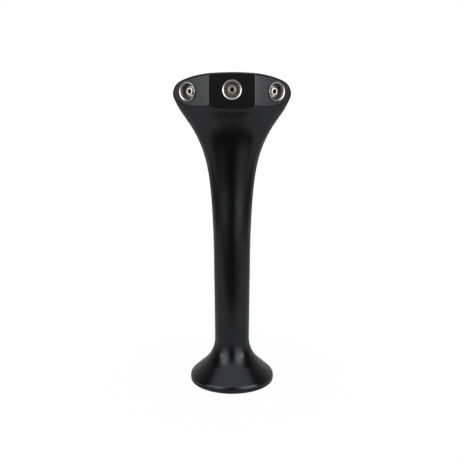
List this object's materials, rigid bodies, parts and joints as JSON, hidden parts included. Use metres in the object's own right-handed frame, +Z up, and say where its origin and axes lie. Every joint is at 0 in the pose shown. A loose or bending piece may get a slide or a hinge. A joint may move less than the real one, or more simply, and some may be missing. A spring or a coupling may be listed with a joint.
{
  "type": "cobra beer font",
  "caption": "Slim bar-top beer font: a round sloped foot, a hollow column and a broad forward-leaning hooded head whose faceted face carries threaded tap sockets fed by inner beer lines.",
  "frame": {"origin": "middle of the foot's underside, where the gasket meets the counter", "axes": "+Z is up, the tap sockets face -Y, the head spreads along X"},
  "size_m": [0.1578, 0.121, 0.4394],
  "materials": {
    "black_powder_coat": "satin black powder coat on a hollow aluminium casting",
    "polished_stainless": "turned and polished stainless steel",
    "turned_stainless": "fine-turned stainless steel",
    "drawn_stainless": "bright drawn stainless tube",
    "nickel_brass": "nickel-plated brass",
    "plated_steel": "zinc-plated spring steel",
    "black_rubber": "matt moulded rubber",
    "grey_silicone": "matt food-grade silicone",
    "white_nylon": "turned natural nylon",
    "insulation_foam": "closed-cell foam"
  },
  "bodies": {
    "root": {"font_body": "black_powder_coat", "base_gasket": "black_rubber", "line_guide": "white_nylon", "insulation_sleeve": "insulation_foam", "tap_socket_left": "polished_stainless", "socket_seal_left": "black_rubber", "lock_washer_left": "plated_steel", "lock_nut_left": "nickel_brass", "beer_spigot_left": "turned_stainless", "tap_seal_left": "grey_silicone", "spigot_clip_left": "plated_steel", "beer_line_left": "drawn_stainless", "tap_socket_centre": "polished_stainless", "socket_seal_centre": "black_rubber", "lock_washer_centre": "plated_steel", "lock_nut_centre": "nickel_brass", "beer_spigot_centre": "turned_stainless", "tap_seal_centre": "grey_silicone", "spigot_clip_centre": "plated_steel", "beer_line_centre": "drawn_stainless", "tap_socket_right": "polished_stainless", "socket_seal_right": "black_rubber", "lock_washer_right": "plated_steel", "lock_nut_right": "nickel_brass", "beer_spigot_right": "turned_stainless", "tap_seal_right": "grey_silicone", "spigot_clip_right": "plated_steel", "beer_line_right": "drawn_stainless"}
  },
  "joints": []
}
